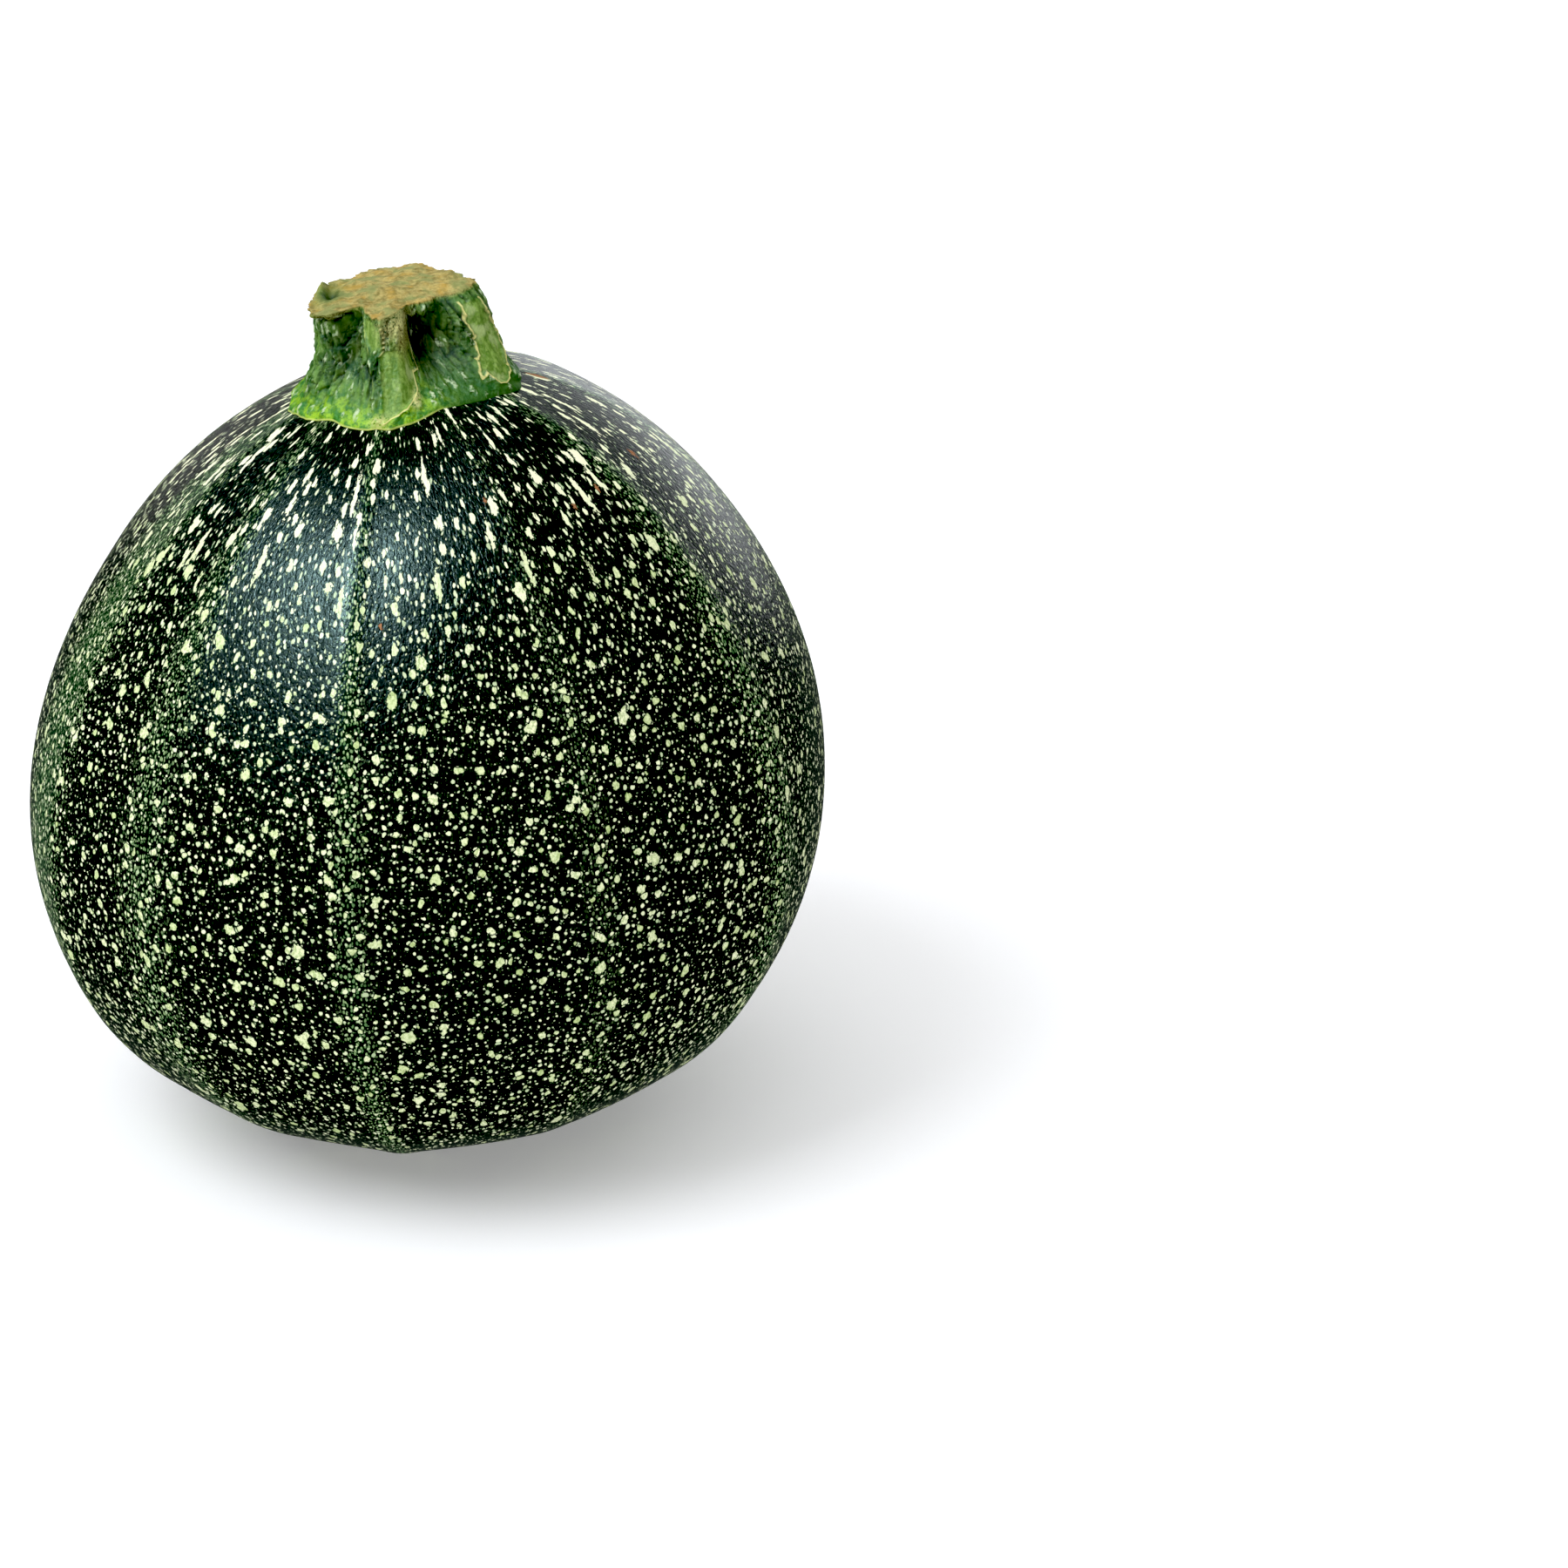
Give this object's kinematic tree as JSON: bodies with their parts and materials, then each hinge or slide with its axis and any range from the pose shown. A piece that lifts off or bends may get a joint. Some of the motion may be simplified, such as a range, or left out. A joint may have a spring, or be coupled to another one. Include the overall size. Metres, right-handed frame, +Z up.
{
  "type": "round zucchini",
  "caption": "Round dark green zucchini with pale flecks, low ribs and a short ridged stub of cut stem, resting on a small flat spot under it.",
  "frame": {"origin": "centre of the small flat spot under the fruit, on the surface that it stands on", "axes": "+Z up, away from the surface that the fruit stands on; -Y towards the viewer of the front; +X to that viewer's right. The stem end leans about 2.5 degrees towards -X."},
  "size_m": [0.0959, 0.0962, 0.1052],
  "materials": {
    "skin": "satin, smooth dark green skin with pale yellow-green flecks",
    "stem": "matte, fibrous green stem with a tan cut end"
  },
  "bodies": {
    "root": {"fruit": "skin", "stem": "stem"}
  },
  "joints": []
}
